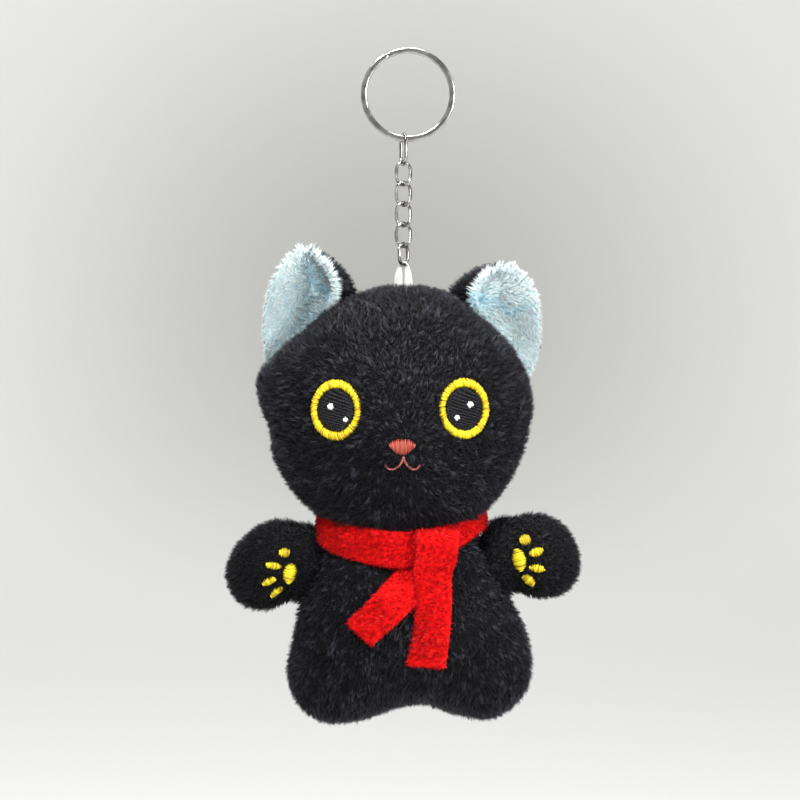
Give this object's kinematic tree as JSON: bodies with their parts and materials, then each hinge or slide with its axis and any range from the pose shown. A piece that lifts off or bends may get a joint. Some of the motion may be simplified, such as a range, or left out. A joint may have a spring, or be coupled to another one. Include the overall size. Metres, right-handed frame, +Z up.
{
  "type": "plush cat keychain",
  "caption": "Small stuffed black cat with pale blue inner ears, embroidered face and paws and a red scarf, hanging by a ribbon loop and a short curb chain from a split ring.",
  "frame": {"origin": "the point at the top of the inside of the split ring, where a hook holds it", "axes": "+Z up along the hanging chain, -Y the way the face looks, +X to the right as seen from the front"},
  "size_m": [0.1106, 0.0534, 0.2153],
  "materials": {
    "nickel_steel": "bright nickel plate on steel wire",
    "satin_ribbon": "white woven satin ribbon",
    "black_plush": "short black velboa plush, soft sheen",
    "blue_plush": "longer pale blue plush with whiter tips",
    "red_plush": "short-napped red plush ribbon, frayed cut ends",
    "fibre_stuffing": "white polyester fibrefill",
    "yellow_thread": "glossy yellow rayon satin stitch",
    "black_thread": "glossy black rayon fill stitch",
    "white_thread": "glossy white rayon satin stitch",
    "coral_thread": "glossy coral rayon satin stitch",
    "pink_thread": "glossy pale pink rayon running stitch"
  },
  "bodies": {
    "split_ring": {"split_ring": "nickel_steel"},
    "chain_link_1": {"chain_link_1": "nickel_steel"},
    "chain_link_2": {"chain_link_2": "nickel_steel"},
    "chain_link_3": {"chain_link_3": "nickel_steel"},
    "chain_link_4": {"chain_link_4": "nickel_steel"},
    "chain_link_5": {"chain_link_5": "nickel_steel"},
    "chain_link_6": {"chain_link_6": "nickel_steel"},
    "head": {"hang_loop": "satin_ribbon", "head_front": "black_plush", "head_back": "black_plush", "head_stuffing": "fibre_stuffing", "eye_left_ring": "yellow_thread", "eye_left_pupil": "black_thread", "eye_left_highlight_large": "white_thread", "eye_left_highlight_small": "white_thread", "eye_right_ring": "yellow_thread", "eye_right_pupil": "black_thread", "eye_right_highlight_large": "white_thread", "eye_right_highlight_small": "white_thread", "nose": "coral_thread", "mouth": "pink_thread"},
    "ear_left": {"ear_left_inner": "blue_plush", "ear_left_outer": "black_plush"},
    "ear_right": {"ear_right_inner": "blue_plush", "ear_right_outer": "black_plush"},
    "torso": {"body_front": "black_plush", "body_back": "black_plush", "body_stuffing": "fibre_stuffing", "scarf_neck_band": "red_plush", "scarf_knot": "red_plush"},
    "arm_left": {"arm_left_front": "black_plush", "arm_left_back": "black_plush", "arm_left_stuffing": "fibre_stuffing", "paw_left_toe_1": "yellow_thread", "paw_left_toe_2": "yellow_thread", "paw_left_toe_3": "yellow_thread", "paw_left_toe_4": "yellow_thread", "paw_left_pad": "yellow_thread"},
    "arm_right": {"arm_right_front": "black_plush", "arm_right_back": "black_plush", "arm_right_stuffing": "fibre_stuffing", "paw_right_toe_1": "yellow_thread", "paw_right_toe_2": "yellow_thread", "paw_right_toe_3": "yellow_thread", "paw_right_toe_4": "yellow_thread", "paw_right_pad": "yellow_thread"},
    "scarf_front_tail": {"scarf_front_tail": "red_plush"},
    "scarf_side_tail": {"scarf_side_tail": "red_plush"}
  },
  "joints": [
    {"name": "link_1_round_ring", "type": "hinge", "parent": "split_ring", "child": "chain_link_1", "pos_m": [0, 0, -0.0134], "axis": [0, 1, 0], "range_deg": [-30, 30]},
    {"name": "link_2_swing", "type": "hinge", "parent": "chain_link_1", "child": "chain_link_2", "pos_m": [-0.0015, 0, -0.03593], "axis": [0.2588, -0.9659, 0], "range_deg": [-25, 25]},
    {"name": "link_3_swing", "type": "hinge", "parent": "chain_link_2", "child": "chain_link_3", "pos_m": [-0.0015, 0, -0.04142], "axis": [0.7071, 0.7071, 0], "range_deg": [-25, 25]},
    {"name": "link_4_swing", "type": "hinge", "parent": "chain_link_3", "child": "chain_link_4", "pos_m": [-0.0015, 0, -0.04906], "axis": [0.7071, -0.7071, 0], "range_deg": [-25, 25]},
    {"name": "link_5_swing", "type": "hinge", "parent": "chain_link_4", "child": "chain_link_5", "pos_m": [-0.0015, 0, -0.05457], "axis": [0.7071, 0.7071, 0], "range_deg": [-25, 25]},
    {"name": "link_6_swing", "type": "hinge", "parent": "chain_link_5", "child": "chain_link_6", "pos_m": [-0.0015, 0, -0.06223], "axis": [0.7071, -0.7071, 0], "range_deg": [-25, 25]},
    {"name": "loop_swing", "type": "hinge", "parent": "chain_link_6", "child": "head", "pos_m": [-0.0015, 0, -0.06813], "axis": [0.5, 0.866, 0], "range_deg": [-25, 25]},
    {"name": "ear_left_fold", "type": "hinge", "parent": "head", "child": "ear_left", "pos_m": [-0.034, 0.0005, -0.091], "axis": [0.722, 0, 0.6919], "range_deg": [-20, 20], "stiffness_Nm_per_rad": 0.01},
    {"name": "ear_right_fold", "type": "hinge", "parent": "head", "child": "ear_right", "pos_m": [0.0292, 0.0005, -0.09], "axis": [0.6816, 0, -0.7317], "range_deg": [-20, 20], "stiffness_Nm_per_rad": 0.01},
    {"name": "neck_nod", "type": "hinge", "parent": "head", "child": "torso", "pos_m": [-0.0026, 0, -0.1555], "axis": [1, 0, 0], "range_deg": [-12, 10], "stiffness_Nm_per_rad": 0.05},
    {"name": "arm_left_fold", "type": "hinge", "parent": "torso", "child": "arm_left", "pos_m": [-0.0326, 0, -0.1639], "axis": [0.2034, 0, 0.9791], "range_deg": [-35, 35], "stiffness_Nm_per_rad": 0.02},
    {"name": "arm_right_fold", "type": "hinge", "parent": "torso", "child": "arm_right", "pos_m": [0.02955, 0, -0.1618], "axis": [0.2944, 0, -0.9557], "range_deg": [-35, 35], "stiffness_Nm_per_rad": 0.02},
    {"name": "scarf_front_tail_lift", "type": "hinge", "parent": "torso", "child": "scarf_front_tail", "pos_m": [0.00775, -0.02305, -0.164], "axis": [-1, 0, 0], "range_deg": [0, 60]},
    {"name": "scarf_side_tail_lift", "type": "hinge", "parent": "torso", "child": "scarf_side_tail", "pos_m": [-0.0024, -0.0205, -0.1714], "axis": [-0.3233, 0, 0.9463], "range_deg": [0, 50]}
  ]
}
